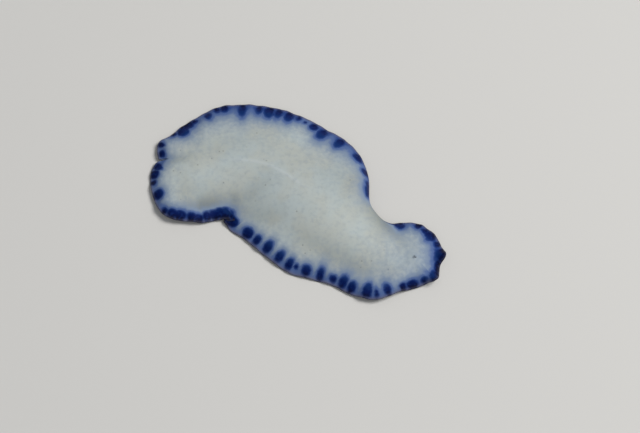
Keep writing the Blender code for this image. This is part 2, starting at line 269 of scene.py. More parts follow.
foldPlace = spine["tailPole"] + right(spine["tailPole"]) - lap["end"]
side, fine, fan = skinMesh["sideStep"], skinMesh["fineStep"], skinMesh["fanStep"]
foldEnd = foldPlace + lap["back"] + skinMesh["pastFold"]
sides = stretches((spine["tailPole"], foldPlace - lap["run"] / 2, foldEnd, spine["headPole"]),
                  (side, fine, side))
headFan = stretches((head(90), tentacles["left"] - tentacles["span"], tentacles["right"] + tentacles["span"],
                     head(-90)), (fan, skinMesh["tentacleStep"], fan))
leftFan = stretches((0, notch["fine"], loop["leftTail"]), (notch["step"], fan))
rightFan = stretches((right(spine["tailPole"]), loop["all"] - notch["fine"], loop["all"]),
                     (fan, notch["step"]))
runs = np.array(leftFan[:-1] + [left(s) for s in sides[:-1]] + headFan[:-1]
                + [right(s) for s in sides[:0:-1]] + rightFan[:-1])
ribCount = len(runs)
distances, angles = ribStand(runs)
roots = spinePoint(distances)
outward = np.stack([np.cos(angles), np.sin(angles)], -1)
onward = np.stack([outward[:, 1], -outward[:, 0]], -1)
reach = through(body["reach"], runs)
droop = np.radians(through(body["droop"], runs))
shoulder = reach * through(body["shoulder"], runs)
skirt = body["skirt"] * reach
back = crest(distances)
edge = body["edgeHeight"]

# Each rib's profile, from the margin in to the spine, measured along the surface
t = np.linspace(1, 0, skinMesh["samples"] + 1)[None, :]
weights = ((1 - t) ** 3, 3 * t * (1 - t) ** 2, 3 * t * t * (1 - t), t ** 3)
controlReach = (0 * reach, shoulder, reach - skirt * np.cos(droop), reach)
controlHeight = (back, back, edge + skirt * np.sin(droop), edge + 0 * reach)
profileReach = sum(w * c[:, None] for w, c in zip(weights, controlReach))
profileHeight = sum(w * c[:, None] for w, c in zip(weights, controlHeight))
lengths = np.hypot(np.diff(profileReach), np.diff(profileHeight))
fromMargin = np.concatenate([np.zeros((ribCount, 1)), np.cumsum(lengths, axis=1)], axis=1)
ribLength = fromMargin[:, -1]

marginShare = np.linspace(0, 1, skinMesh["marginColumns"] + 1) ** skinMesh["crowding"]
backShare = 1 - (1 - np.linspace(0, 1, skinMesh["backColumns"] + 1)[1:]) ** skinMesh["crowding"]
inDepth = np.concatenate([
    np.repeat(skinMesh["marginDepth"] * marginShare[None, :], ribCount, axis=0),
    skinMesh["marginDepth"] + (ribLength[:, None] - skinMesh["marginDepth"]) * backShare[None, :],
], axis=1)
topReach = np.array([np.interp(d, f, r) for d, f, r in zip(inDepth, fromMargin, profileReach)])
topHeight = np.array([np.interp(d, f, h) for d, f, h in zip(inDepth, fromMargin, profileHeight)])
calmSteps = np.linspace(-tentacles["calmSpan"], tentacles["calmSpan"], tentacles["calmSamples"])
calm = np.mean([through(body["reach"], (runs + k) % loop["all"]) for k in calmSteps], axis=0)
cornered = np.minimum(byTentacles(runs, tentacles["calmWidth"]), 1)
slopes = np.gradient(topHeight, axis=1) / np.gradient(topReach, axis=1)
bulge = (cornered * (reach - calm) / reach)[:, None] * topReach * smooth(inDepth / tentacles["calmDepth"])
topHeight += slopes * bulge     # no crease runs in from a pseudotentacle
topHeight -= body["edgeThins"] * (1 - smooth(inDepth / body["thinDepth"])) * np.cos(droop)[:, None]
topCount = inDepth.shape[1]


def onPlan(reaches):
    return roots[:, None, :] + reaches[:, :, None] * outward[:, None, :]


# The margin's own measures: how far along it and how far in from it each point of the top lies
flat = np.concatenate([onPlan(topReach), topHeight[:, :, None]], -1)
marginLine = flat[:, 0]
marginSteps = np.linalg.norm(np.roll(marginLine, -1, axis=0) - marginLine, axis=1)
marginLength = marginSteps.sum()
marginPlace = np.cumsum(marginSteps) - marginSteps
ahead = np.roll(marginLine, -1, axis=0) - np.roll(marginLine, 1, axis=0)
ahead /= np.linalg.norm(ahead, axis=1)[:, None]
search = {
    "hops": 95,              # ribs to each side that may hold a point's nearest place on the margin
    "farthest": 99.0,
    "halfStep": 0.6,         # share of a step, over a half so that neighbours meet
}


def marginMeasures():
    deep = np.full((ribCount, topCount), search["farthest"])
    place = np.zeros((ribCount, topCount))
    for hop in range(-search["hops"], search["hops"] + 1):
        offset = flat - np.roll(marginLine, hop, axis=0)[:, None, :]
        onwards = np.einsum("ijk,ik->ij", offset, np.roll(ahead, hop, axis=0))
        halfStep = search["halfStep"] * np.roll(marginSteps, hop)[:, None]
        onwards = np.clip(onwards, -halfStep, halfStep)
        gap = np.sqrt(np.maximum((offset ** 2).sum(-1) - onwards ** 2, 0))
        closer = gap < deep
        deep = np.where(closer, gap, deep)
        place = np.where(closer, np.roll(marginPlace, hop)[:, None] + onwards, place)
    return deep, place


marginDeep, marginAlong = marginMeasures()


def alongOf(run):  # true length along the margin, from a place on the loop
    return np.interp(run, np.append(runs, loop["all"]), np.append(marginPlace, marginLength))


def awayFrom(place):
    return (marginAlong - place + marginLength / 2) % marginLength - marginLength / 2


print("ribs", ribCount, "top columns", topCount, "margin", round(float(marginLength), 1), "mm")

topReach = topReach - (notch["deep"] * bump(runs, 0, notch["width"])[:, None]
                       * smooth(1 - inDepth / notch["reach"]))

# Relief of the back: the midline, the furrow from the tail's notch, and shallow folds
sideways = np.where((runs > loop["leftTail"]) & (runs < head(90)), 1.0, 0.0)
sideways -= np.where((runs > head(-90)) & (runs < right(spine["tailPole"])), 1.0, 0.0)
midline = {
    "from": 5.2,
    "to": 15.8,
    "fade": 3,
    "offset": -0.45,         # off the spine at its start, and on it from "straight" on
    "straight": 11.0,
    "width": 0.17,
    "height": 0.02,
}
folds = (  # ends in plan, half width, height
    {"from": (-15.3, 5.5), "to": (-12.9, 5.9), "width": 0.4, "height": -0.14},
    {"from": (7.2, -1.6), "to": (7.7, -4.3), "width": 0.8, "height": -0.15},
    {"from": (-11.5, 0.9), "to": (-8.8, 1.5), "width": 0.7, "height": -0.3},
    {"from": (-8.4, 1.5), "to": (-5.7, 3.3), "width": 0.9, "height": -0.18},
    {"from": (-6.6, 0.6), "to": (-0.5, -3.6), "width": 1.5, "height": -0.16},
    {"from": (5.2, -6.0), "to": (-0.5, -3.6), "width": 1.4, "height": -0.2},
)
foldFade = 0.6               # how much weaker each is at its end


def foldShare(fold):  # how near each point of the top is to a line in plan, fading along the line
    start, end = np.array(fold["from"]), np.array(fold["to"])
    span = end - start
    offset = flat[:, :, :2] - start
    share = np.clip((offset @ span) / (span @ span), 0, 1)
    gap = np.linalg.norm(offset - share[:, :, None] * span, axis=2)
    return np.exp(-(gap / fold["width"]) ** 2) * (1 - foldFade * share ** 2)


def midlineShare():
    onSpine = smooth((distances - midline["from"]) / (midline["straight"] - midline["from"]))
    offset = midline["offset"] * (1 - onSpine)
    gap = sideways[:, None] * topReach - offset[:, None]
    ends = smooth((distances - midline["from"]) / midline["fade"])
    ends = ends * smooth((midline["to"] - distances) / midline["fade"])
    return np.exp(-(gap / midline["width"]) ** 2) * (ends * np.abs(sideways))[:, None]


midlineField = midlineShare()
relief = midline["height"] * midlineField + sum(fold["height"] * foldShare(fold) for fold in folds)
waves = sum(np.sin(2 * np.pi * count * marginPlace / marginLength + phase) for count, phase in frill["waves"])
relief += frill["height"] * (waves * np.cos(droop))[:, None] * (1 - smooth(inDepth / frill["depth"]))
lifts = sum(lift * bump(runs, place, width) for place, width, lift in ruffles)
relief += lifts[:, None] * (1 - smooth(inDepth / ruffleDepth))
topHeight = topHeight + relief

# Painted shade on the back, in its hollows and folds and on slopes that face away from the light: ends in
# plan, half width, share
shades = (
    {"from": (-12.2, 0.6), "to": (-8.6, 1.2), "width": 0.9, "share": 0.7},
    {"from": (-11.6, 0.4), "to": (-9.3, 1.0), "width": 0.7, "share": 0.65},
    {"from": (-12.8, 2.2), "to": (-8.8, 2.4), "width": 1.2, "share": 0.22},
    {"from": (-8.2, 0.4), "to": (-5.4, 2.8), "width": 1.3, "share": 0.28},
    {"from": (-7.0, -0.1), "to": (-4.0, -0.5), "width": 1.0, "share": 0.36},
    {"from": (4.4, -6.3), "to": (-2.0, -2.6), "width": 1.1, "share": 0.44},
    {"from": (-6.0, -1.2), "to": (-3.2, -2.0), "width": 1.0, "share": 0.14},
    {"from": (8.7, -4.2), "to": (9.7, -4.7), "width": 0.9, "share": 0.13},
    {"from": (6.6, -1.4), "to": (7.6, -3.2), "width": 0.7, "share": 0.6},
    {"from": (-11.7, 6.3), "to": (-4.0, 8.6), "width": 1.6, "share": 0.2},
    {"from": (2.6, 3.2), "to": (-4.0, 7.0), "width": 2.2, "share": 0.2},
    {"from": (3.6, 0.6), "to": (1.8, 4.4), "width": 1.3, "share": 0.13},
    {"from": (-14.9, 5.4), "to": (-13.0, 5.6), "width": 0.6, "share": 0.4},
    {"from": (6.9, -1.5), "to": (7.4, -2.1), "width": 0.4, "share": 0.5},
)
# Painted shade along the side of the neck that falls away from the back, and the head's start, fading in from
# the margin
sideShade = {
    "width": 1.9,
    "share": (  # place on the loop, and share
        (0, 0), (19.5, 0), (22, 1.0), (24.5, 0.75), (26, 0.85), (28.3, 0.75), (30.5, 0), (70, 0),
    ),
}
sideShadeShare = np.clip(through(sideShade["share"], runs), 0, 1)[:, None]
sideShadeShare = sideShadeShare * np.exp(-(inDepth / sideShade["width"]) ** 2)
# All the painted shade, as a share of the shade's grey
shadeField = 1 - (1 - sideShadeShare) * np.prod([1 - shade["share"] * foldShare(shade) for shade in shades], axis=0)

# The underside and the rim
soleEdge = np.maximum(topHeight[:, :1] - body["rimThick"] * np.cos(droop)[:, None], body["lowestRim"])
soleRim = topReach[:, :1] - (body["rimThick"] * np.sin(droop))[:, None]
soleShare = np.concatenate([np.linspace(1, skinMesh["soleMiddle"], skinMesh["soleColumns"], endpoint=False),
                            np.linspace(skinMesh["soleMiddle"], 0, skinMesh["middleColumns"] + 1)])[None, :]
soleReach = soleRim * soleShare
soleHeight = soleEdge * smooth(2 * soleShare - 1)
soleMarks = (  # the ventral sucker and the mouth: a groove round each, and a pit in its middle
    {"place": 14.0, "radius": 0.8, "stretch": 1.0, "groove": 0.1, "pit": 0.16},
    {"place": 21.6, "radius": 0.6, "stretch": 1.6, "groove": 0.08, "pit": 0.14},
)
markWidths = {"groove": 0.16, "pit": 0.3}
for mark in soleMarks:
    offset = onPlan(soleReach) - spinePoint(mark["place"])
    frontward, leftward = axesAt(mark["place"])
    ring = np.hypot(offset @ frontward / mark["stretch"], offset @ leftward) / mark["radius"]
    soleHeight += (mark["groove"] * np.exp(-((ring - 1) / markWidths["groove"]) ** 2)
                   + mark["pit"] * np.exp(-(ring / markWidths["pit"]) ** 2))
soleDepth = soleRim - soleReach
rimTurns = np.pi * np.arange(1, skinMesh["rimColumns"] + 1) / (skinMesh["rimColumns"] + 1)
rimReach = (topReach[:, :1] + soleRim) / 2 + 0.5 * body["rimThick"] * np.sin(rimTurns)[None, :]
rimHeight = (topHeight[:, :1] + soleEdge) / 2 + (topHeight[:, :1] - soleEdge) / 2 * np.cos(rimTurns)[None, :]
ringReach = np.concatenate([topReach[:, ::-1], rimReach, soleReach], axis=1)
ringHeight = np.concatenate([topHeight[:, ::-1], rimHeight, soleHeight], axis=1)
ringDepth = np.concatenate([inDepth[:, ::-1], 0 * rimReach, soleDepth], axis=1)
columnCount = ringReach.shape[1]

# The fold, where the tail's right margin laps over the next one, and the pseudotentacles
risen = np.where(runs >= lap["end"], smooth(1 - (runs - lap["end"]) / lap["run"]),
                 smooth(1 - (lap["end"] - runs) / lap["back"]))
near = smooth(1 - ringDepth / lap["depth"])
ringHeight = ringHeight + lap["lift"] * risen[:, None] * near ** lap["liftPower"]
raised = byTentacles(runs, tentacles["width"])
ringHeight = ringHeight + tentacles["lift"] * raised[:, None] * smooth(1 - ringDepth / tentacles["depth"])
tucked = np.where(runs < underLap, bump(runs, underLap, lap["tuckWidth"]), 1 - risen)
tucked *= runs < lap["end"]
slide = (lap["tuck"] * tucked - lap["sweep"] * risen)[:, None] * near ** lap["slidePower"]
plan = onPlan(ringReach) + slide[:, :, None] * onward[:, None, :]
points = np.concatenate([plan, np.maximum(ringHeight, 0)[:, :, None]], -1)

# Each spot: its place on the loop, its depth in from the edge, half its length along and half across
spots = (
    (0.5, 0.44, 0.34, 0.28), (1.75, 0.44, 0.34, 0.34), (3.7, 0.14, 0.22, 0.20),
    (4.7, 0.72, 0.56, 0.60), (5.25, 0.38, 0.50, 0.45), (6.0, 0.40, 0.30, 0.40),
    (6.6, 0.36, 0.22, 0.22), (8.0, 0.66, 0.29, 0.40), (8.9, 0.32, 0.25, 0.36),
    (9.5, 0.45, 0.34, 0.42), (10.8, 0.74, 0.32, 0.74), (11.9, 0.60, 0.26, 0.46),
    (12.55, 0.70, 0.44, 0.73), (13.15, 0.66, 0.30, 0.56), (13.85, 0.69, 0.38, 0.62),
    (14.45, 0.40, 0.18, 0.28), (14.95, 0.54, 0.09, 0.11), (15.6, 0.62, 0.38, 0.45),
    (16.35, 0.87, 0.38, 0.67), (17.85, 0.84, 0.41, 0.64), (20.25, 0.52, 0.50, 0.42),
    (21.84, 0.54, 0.40, 0.42), (22.95, 0.60, 0.34, 0.40), (23.4, 0.70, 0.38, 0.50),
    (23.7, 0.86, 0.22, 0.26), (27.65, 0.26, 0.50, 0.34), (28.6, 0.52, 0.52, 0.56), (30.9, 0.34, 0.35, 0.36),
    (31.8, 0.44, 0.32, 0.30), (32.2, 0.54, 0.40, 0.42), (32.6, 0.60, 0.42, 0.60), (33.55, 0.30, 0.26, 0.34),
    (34.45, 0.48, 0.45, 0.66), (35.15, 0.46, 0.55, 0.72), (36.1, 0.18, 0.60, 0.30),
    (36.9, 0.38, 0.34, 0.40), (37.6, 0.68, 0.55, 0.80), (38.62, 0.33, 0.22, 0.26),
    (39.95, 0.32, 0.50, 0.36), (40.9, 0.30, 0.29, 0.32), (41.94, 0.58, 0.30, 0.50),
    (42.75, 0.50, 0.17, 0.30), (43.54, 0.72, 0.45, 0.70), (44.72, 0.56, 0.36, 0.52),
    (45.42, 0.62, 0.32, 0.60), (46.1, 0.53, 0.25, 0.30), (46.93, 0.62, 0.26, 0.56),
    (47.9, 0.62, 0.36, 0.50), (48.67, 0.76, 0.17, 0.21), (49.4, 0.70, 0.33, 0.50),
    (50.65, 0.74, 0.33, 0.52), (52.15, 0.82, 0.36, 0.56), (53.45, 0.66, 0.30, 0.42),
    (54.95, 0.60, 0.44, 0.50), (59.6, 0.48, 0.44, 0.44), (60.5, 0.40, 0.42, 0.48),
    (61.1, 0.56, 0.40, 0.54), (61.8, 0.54, 0.50, 0.51), (62.6, 0.51, 0.46, 0.47),
    (63.5, 0.50, 0.40, 0.44), (64.5, 0.33, 0.46, 0.37),
    (65.1, 0.38, 0.42, 0.38), (66.2, 0.43, 0.50, 0.43), (67.0, 0.42, 0.52, 0.40),
    (67.85, 0.30, 0.28, 0.22), (69.7, 0.56, 0.44, 0.48), (71.2, 0.32, 0.26, 0.24),
    (72.2, 0.44, 0.46, 0.42), (73.3, 0.57, 0.46, 0.49),
)
washStrength = (  # place on the loop, and how blue the margin is between its spots
    (0, 0.45), (3, 0.42), (5.5, 0.58), (8, 0.6), (10, 0.82), (14, 0.8), (15.1, 0.45), (16.5, 0.76),
    (20, 0.76), (21.1, 0.66), (22.5, 0.78), (24, 0.5), (25.5, 0.05), (27.0, 0.05), (28.1, 0.3),
    (29, 0.52), (32, 0.78), (34, 0.72), (36, 0.56), (38.5, 0.52), (40.6, 0.5), (41.4, 0.32),
    (42.2, 0.5), (44, 0.52), (47, 0.5), (53, 0.5), (57, 0.5), (59, 0.6), (60, 0.46), (61.5, 0.36),
    (63.3, 0.36), (64.6, 0.52), (66, 0.73), (68, 0.56), (70, 0.47), (72.5, 0.42),
)
washWidth = (  # place on the loop, and how far in that blue reaches
    (0, 1.35), (5, 1.8), (10, 1.6), (14.5, 1.35), (17, 1.6), (20, 1.4), (21.2, 1.25), (22.5, 1.4),
    (25, 0.9), (28.5, 0.9), (32, 0.97), (34, 1.25), (36, 1.2), (39, 0.9), (42, 0.95), (50, 0.75),
    (54, 0.72), (59.5, 0.95), (62, 0.85), (64, 0.95), (67, 1.1), (70, 1.2),
)
pigmentShape = {
    "corner": 2.3,
    "farOut": -2.0,          # the value far outside every spot
    "haloFade": 0.28,
    "haloShare": 0.7,
    "haloRise": 2,           # halos have their full share from half the wash's strength on
    "washPower": 1.3,
    "washShare": 0.8,
    "lip": 0.13,
}


def pigment():  # how far inside a spot each point of the top is, and the softer blue round the spots
    inside = np.full(marginDeep.shape, pigmentShape["farOut"])
    corner = pigmentShape["corner"]
    for run, deep, halfLength, halfAcross in spots:
        away = np.abs(awayFrom(alongOf(run)))
        across = np.abs(np.maximum(marginDeep, pigmentShape["lip"]) - deep)
        ring = ((away / halfLength) ** corner + (across / halfAcross) ** corner) ** (1 / corner)
        inside = np.maximum(inside, (1 - ring) * min(halfLength, halfAcross))
    halo = pigmentShape["haloShare"] * np.exp(np.minimum(inside, 0) / pigmentShape["haloFade"])
    strength = np.clip(through(washStrength, runs), 0, 1)[:, None]
    width = through(washWidth, runs)[:, None]
    wash = strength * np.exp(-(inDepth / width) ** pigmentShape["washPower"])
    halo = halo * np.minimum(strength * pigmentShape["haloRise"], 1)
    return inside, 1 - (1 - pigmentShape["washShare"] * wash) * (1 - halo)


# Changes to the blue: brighter spots at the pseudotentacles, a painted highlight at the lap's end, the pale
# slit, a painted highlight across the flap, and the head's tint
spotTop, haloTop = pigment()
glows = (  # place, width and share of where the blue is brighter
    (tentacles["right"], 0.9, 0.75), (tentacles["left"], 1.2, 0.35), (lap["end"] + 0.3, 0.6, 0.8),
)
glowDepth = {"from": 0.6, "over": 0.65}
nearGlow = sum(bump(runs, place, width) * share for place, width, share in glows)
glowTop = smooth((marginDeep + nearGlow[:, None] - glowDepth["from"]) / glowDepth["over"])
slit = bump(runs, 0, notch["paleWidth"])[:, None] * (1 - smooth(inDepth / notch["reach"]))
spotTop = spotTop - notch["spotsPale"] * slit
haloTop = haloTop * (1 - notch["washPales"] * slit)
# A painted highlight across the flap near the lap's end, where light comes through the fold: the spots there
# are paler
flapHighlight = {"place": underLap, "width": 0.5, "deep": 0.75, "across": 0.3, "share": 0.24}
litFlap = np.exp(-((marginDeep - flapHighlight["deep"]) / flapHighlight["across"]) ** 2)
highlightOnFlap = flapHighlight["share"] * bump(runs, flapHighlight["place"], flapHighlight["width"])[:, None]
spotTop = spotTop - highlightOnFlap * litFlap
headBlue = {"from": 21.0, "over": 6.0, "share": 0.1}
headTint = headBlue["share"] * smooth((distances - headBlue["from"]) / headBlue["over"])
haloTop = 1 - (1 - haloTop) * (1 - headTint)[:, None]


def onRing(top, fill):  # a field of the top, carried on over the rim and the underside
    rest = np.full((ribCount, columnCount - topCount), fill)
    rest[:, :skinMesh["rimColumns"]] = top[:, :1]
    return np.concatenate([top[:, ::-1], rest], axis=1)


rimDepths = {"step": 0.07, "deepest": 0.5}   # the rim and the sole count as outside the edge
rimOut = -rimDepths["step"] * np.arange(1, columnCount - topCount + 1)[None, :].repeat(ribCount, axis=0)
fields = {
    "edgeDepth": np.concatenate([marginDeep[:, ::-1], np.maximum(rimOut, -rimDepths["deepest"])], axis=1),
    "spotInside": onRing(spotTop, pigmentShape["farOut"]),
    "blueShare": onRing(haloTop, 0.0),
    "midline": onRing(midlineField, 0.0),
    "shade": onRing(shadeField, 0.0),
    "glow": onRing(glowTop, 0.0),
}

# Vertices: the ribs of both sides share one at each spine point, top and sole
spineKeys = {}
kept = []
vertexAt = np.zeros((ribCount, columnCount), dtype=int)
for rib in range(ribCount):
    for column in range(columnCount):
        key = (round(float(distances[rib]), 5), column) if column in (0, columnCount - 1) else None
        if key in spineKeys:
            vertexAt[rib, column] = spineKeys[key]
            continue
        vertexAt[rib, column] = len(kept)
        kept.append((rib, column))
        if key:
            spineKeys[key] = vertexAt[rib, column]
keptRibs, keptColumns = np.array(kept).T

faces = []
faceCorners = []
for rib in range(ribCount):
    following = (rib + 1) % ribCount
    for column in range(columnCount - 1):
        places = [(rib, column), (following, column), (following, column + 1), (rib, column + 1)]
        corners = [int(vertexAt[place]) for place in places]
        distinct = [k for k in range(4) if corners[k] != corners[k - 1]]
        faces.append([corners[k] for k in distinct])
        faceCorners.append([places[k] for k in distinct])

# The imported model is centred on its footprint, so the plan is shifted by where the eyes are
eyes = {"place": 27.2, "node": "cerebral_eyes"}
eyeBox = [Vector(corner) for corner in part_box(eyes["node"])]
eyeMiddle = (eyeBox[0] + eyeBox[1]) / 2
eyePlan = spinePoint(eyes["place"])
shift = np.array([eyeMiddle.x / mm - eyePlan[0], eyeMiddle.y / mm - eyePlan[1], 0.0])
placed = (points[keptRibs, keptColumns] + shift) * mm

skinData = bpy.data.meshes.new("skin")
skinData.from_pydata([tuple(v) for v in placed], [], faces)
for name, values in fields.items():
    layer = skinData.attributes.new(name, "FLOAT", "POINT")
    layer.data.foreach_set("value", values[keptRibs, keptColumns].astype(np.float32))

# The bake's map: the relaxed top and, above it, the sole, each laid out flat
unwrap = {"scale": (1 / 32, 1 / 44), "middle": (0.573, 0.2136), "soleRise": 0.5, "rimStep": 0.12}
soleFrom = topCount + skinMesh["rimColumns"]
topPlan = onPlan(ringReach)
rimPlan = onPlan(reach[:, None] + unwrap["rimStep"] * np.arange(1, skinMesh["rimColumns"] + 2)[None, :])
mapLayer = skinData.uv_layers.new(name="OFBake")
mapped = []
for corners in faceCorners:
    onSole = min(column for _, column in corners) >= soleFrom
    for rib, column in corners:
        if onSole or column < topCount:
            spot = topPlan[rib, column]
        else:
            spot = rimPlan[rib, column - topCount]
        mapped += [spot[0] * unwrap["scale"][0] + unwrap["middle"][0],
                   spot[1] * unwrap["scale"][1] + unwrap["middle"][1] + (unwrap["soleRise"] if onSole else 0)]
mapLayer.data.foreach_set("uv", mapped)
skinData.shade_smooth()
skin = bpy.data.objects.new("flatwormSkin", skinData)
bpy.context.scene.collection.objects.link(skin)
print("skin", len(kept), "vertices", len(faces), "faces")

# The wet skin: a pale body with painted shade, a blue wash that deepens to the margin, dark spots with
# painted highlights at the lap, and a lilac rim
finish = {
    "body": (0.430, 0.484, 0.487),
    "bodyWarm": (0.445, 0.474, 0.448),
    "blues": (                # share of blue, and its colour
        (0.25, (0.195, 0.252, 0.345)),
        (0.5, (0.075, 0.125, 0.285)),
        (0.75, (0.018, 0.05, 0.2)),
        (1.0, (0.003, 0.02, 0.12)),
    ),
    "spotInner": (0.0003, 0.008, 0.08),
    "spotOuter": (0.002, 0.003, 0.02),
    "spotPale": (0.005, 0.025, 0.14),
    # brighter blue of the spots, at the lap's end a painted highlight
    "spotGlow": (0.006, 0.028, 0.13),
    "midline": (0.5, 0.545, 0.56),
    "midlineShare": 0.45,
    "speck": (0.16, 0.17, 0.165),
    "speckScale": 700,
    # grey of the painted shade, also used for the random grey mottle
    "shade": (0.16, 0.175, 0.165),
    "rim": (0.115, 0.112, 0.145),
    "lilac": (0.117, 0.12, 0.185),   # of the edge between the spots
    "glowShare": 0.8,
    "grainStrength": 0.35,
    "grainHeight": 0.00003,
}
sheen = {
    "Roughness": 0.5,
    "Subsurface Weight": 0.06,
    "Subsurface Radius": (0.6, 0.7, 1.0),
    "Subsurface Scale": 0.0003,
    "Specular IOR Level": 0.07,
}
noises = {  # scale and detail
    "broad": (350, 3.0),
    "fine": (2600, 4.0),
    "patches": (700, 3.0),
    "grey": (1300, 3.0),
    "mottle": (3600, 2.0),
}
ramps = {  # from, to, and the values there if these aren't 0 and 1
    "warm": (0.35, 0.65),
    "specks": (0.075, 0.03, 0.0, 0.5),
    "patches": (0.5, 0.6),
    "grey": (0.42, 0.72, 0.0, 0.08),
    "blueGrain": (0.3, 0.7, -0.04, 0.04),
    "blueStarts": (0.0, 0.25),
    "spotGrain": (0.3, 0.7, -0.05, 0.05),
    "spotEdge": (-0.2, 0.13),
    "spotDeepens": (0.0, 0.65),
    "mottle": (0.5, 0.68, 0.0, 0.48),
    "lilac": (0.4, 0.0, 0.0, 0.4),
    "offSpots": (0.0, 1.0, 1.0, 0.0),
    "rim": (0.15, -0.03, 0.0, 0.6),
    "rimEnds": (-0.5, -0.25),
    "rimOnSpots": (0.0, 1.0, 1.0, 0.35),
}


def node(tree, kind, **values):
    made = tree.nodes.new(kind)
    for key, value in values.items():
        setattr(made, key, value)
    return made


def attributeOf(tree, name):
    return node(tree, "ShaderNodeAttribute", attribute_name=name, attribute_type="GEOMETRY").outputs["Fac"]


def ramp(tree, value, low, high, toLow=0.0, toHigh=1.0, kind="SMOOTHSTEP"):
    made = node(tree, "ShaderNodeMapRange", interpolation_type=kind)
    tree.links.new(value, made.inputs["Value"])
    for name, number in (("From Min", low), ("From Max", high), ("To Min", toLow), ("To Max", toHigh)):
        made.inputs[name].default_value = number
    return made.outputs["Result"]


def maths(tree, operation, first, second):
    made = node(tree, "ShaderNodeMath", operation=operation)
    for socket, value in zip(made.inputs, (first, second)):
        if isinstance(value, (int, float)):
            socket.default_value = value
        else:
            tree.links.new(value, socket)
    return made.outputs[0]


def mixColour(tree, amount, first, second):
    made = node(tree, "ShaderNodeMix", data_type="RGBA")
    for socket, value in ((made.inputs["Factor"], amount), (made.inputs[6], first), (made.inputs[7], second)):
        if isinstance(value, tuple):
            socket.default_value = (*value, 1)
        elif isinstance(value, (int, float)):
            socket.default_value = value
        else:
            tree.links.new(value, socket)
    return made.outputs[2]


def noiseOf(tree, vector, scale, detail=3.0):
    made = node(tree, "ShaderNodeTexNoise")
    made.inputs["Scale"].default_value = scale
    made.inputs["Detail"].default_value = detail
    tree.links.new(vector, made.inputs["Vector"])
    return made.outputs["Fac"]


def colourRamp(tree, value, stops):
    made = node(tree, "ShaderNodeValToRGB")
    made.color_ramp.interpolation = "EASE"
    while len(made.color_ramp.elements) < len(stops):
        made.color_ramp.elements.new(0.5)
    for element, (place, colour) in zip(made.color_ramp.elements, stops):
        element.position = place
        element.color = (*colour, 1)
    tree.links.new(value, made.inputs["Fac"])
    return made.outputs["Color"]


def newMaterial(name):
    material = bpy.data.materials.new(name)
    material.use_nodes = True
    return material, material.node_tree, material.node_tree.nodes["Principled BSDF"]


def wetSkin():
    material, tree, shader = newMaterial("wetSkin")
    vector = node(tree, "ShaderNodeTexCoord").outputs["Object"]
    noise = {name: noiseOf(tree, vector, *values) for name, values in noises.items()}
    edgeDepth = attributeOf(tree, "edgeDepth")
    colour = mixColour(tree, ramp(tree, noise["broad"], *ramps["warm"]), finish["body"], finish["bodyWarm"])
    line = maths(tree, "MULTIPLY", attributeOf(tree, "midline"), finish["midlineShare"])
    colour = mixColour(tree, line, colour, finish["midline"])
    # Painted shade: the shade field darkens the body towards grey
    colour = mixColour(tree, attributeOf(tree, "shade"), colour, finish["shade"])
    cells = node(tree, "ShaderNodeTexVoronoi", voronoi_dimensions="2D")
    cells.inputs["Scale"].default_value = finish["speckScale"]
    tree.links.new(vector, cells.inputs["Vector"])
    specks = maths(tree, "MULTIPLY", ramp(tree, cells.outputs["Distance"], *ramps["specks"]),
                   ramp(tree, noise["patches"], *ramps["patches"]))
    colour = mixColour(tree, specks, colour, finish["speck"])
    # Random grey mottle, in the painted shade's grey
    colour = mixColour(tree, ramp(tree, noise["grey"], *ramps["grey"]), colour, finish["shade"])
    share = maths(tree, "ADD", attributeOf(tree, "blueShare"),
                  ramp(tree, noise["fine"], *ramps["blueGrain"], kind="LINEAR"))
    blues = colourRamp(tree, share, ((0.0, finish["blues"][0][1]), *finish["blues"]))
    colour = mixColour(tree, ramp(tree, share, *ramps["blueStarts"], kind="LINEAR"), colour, blues)
    inside = maths(tree, "ADD", attributeOf(tree, "spotInside"),
                   ramp(tree, noise["fine"], *ramps["spotGrain"], kind="LINEAR"))
    spotShare = ramp(tree, inside, *ramps["spotEdge"])
    deep = ramp(tree, edgeDepth, *ramps["spotDeepens"])
    spot = mixColour(tree, deep, finish["spotOuter"], finish["spotInner"])
    spot = mixColour(tree, ramp(tree, noise["mottle"], *ramps["mottle"]), spot, finish["spotPale"])
    # Brighter blue in the spots: at the lap's end a painted highlight
    glow = maths(tree, "MULTIPLY", attributeOf(tree, "glow"), finish["glowShare"])
    spot = mixColour(tree, glow, spot, finish["spotGlow"])
    colour = mixColour(tree, spotShare, colour, spot)
    lilac = maths(tree, "MULTIPLY", ramp(tree, edgeDepth, *ramps["lilac"]),
                  ramp(tree, spotShare, *ramps["offSpots"]))
    colour = mixColour(tree, lilac, colour, finish["lilac"])
    rim = maths(tree, "MULTIPLY", ramp(tree, edgeDepth, *ramps["rim"]),
                ramp(tree, edgeDepth, *ramps["rimEnds"]))
    rim = maths(tree, "MULTIPLY", rim, ramp(tree, spotShare, *ramps["rimOnSpots"]))
    colour = mixColour(tree, rim, colour, finish["rim"])
    tree.links.new(colour, shader.inputs["Base Color"])
    for name, value in sheen.items():
        shader.inputs[name].default_value = value
    grain = node(tree, "ShaderNodeBump")
    grain.inputs["Strength"].default_value = finish["grainStrength"]
    grain.inputs["Distance"].default_value = finish["grainHeight"]
    tree.links.new(noise["fine"], grain.inputs["Height"])
    tree.links.new(grain.outputs["Normal"], shader.inputs["Normal"])
    return material


skinData.materials.append(wetSkin())
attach(skin, "root")
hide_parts(*[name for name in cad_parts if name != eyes["node"]])
print("skin dressed")

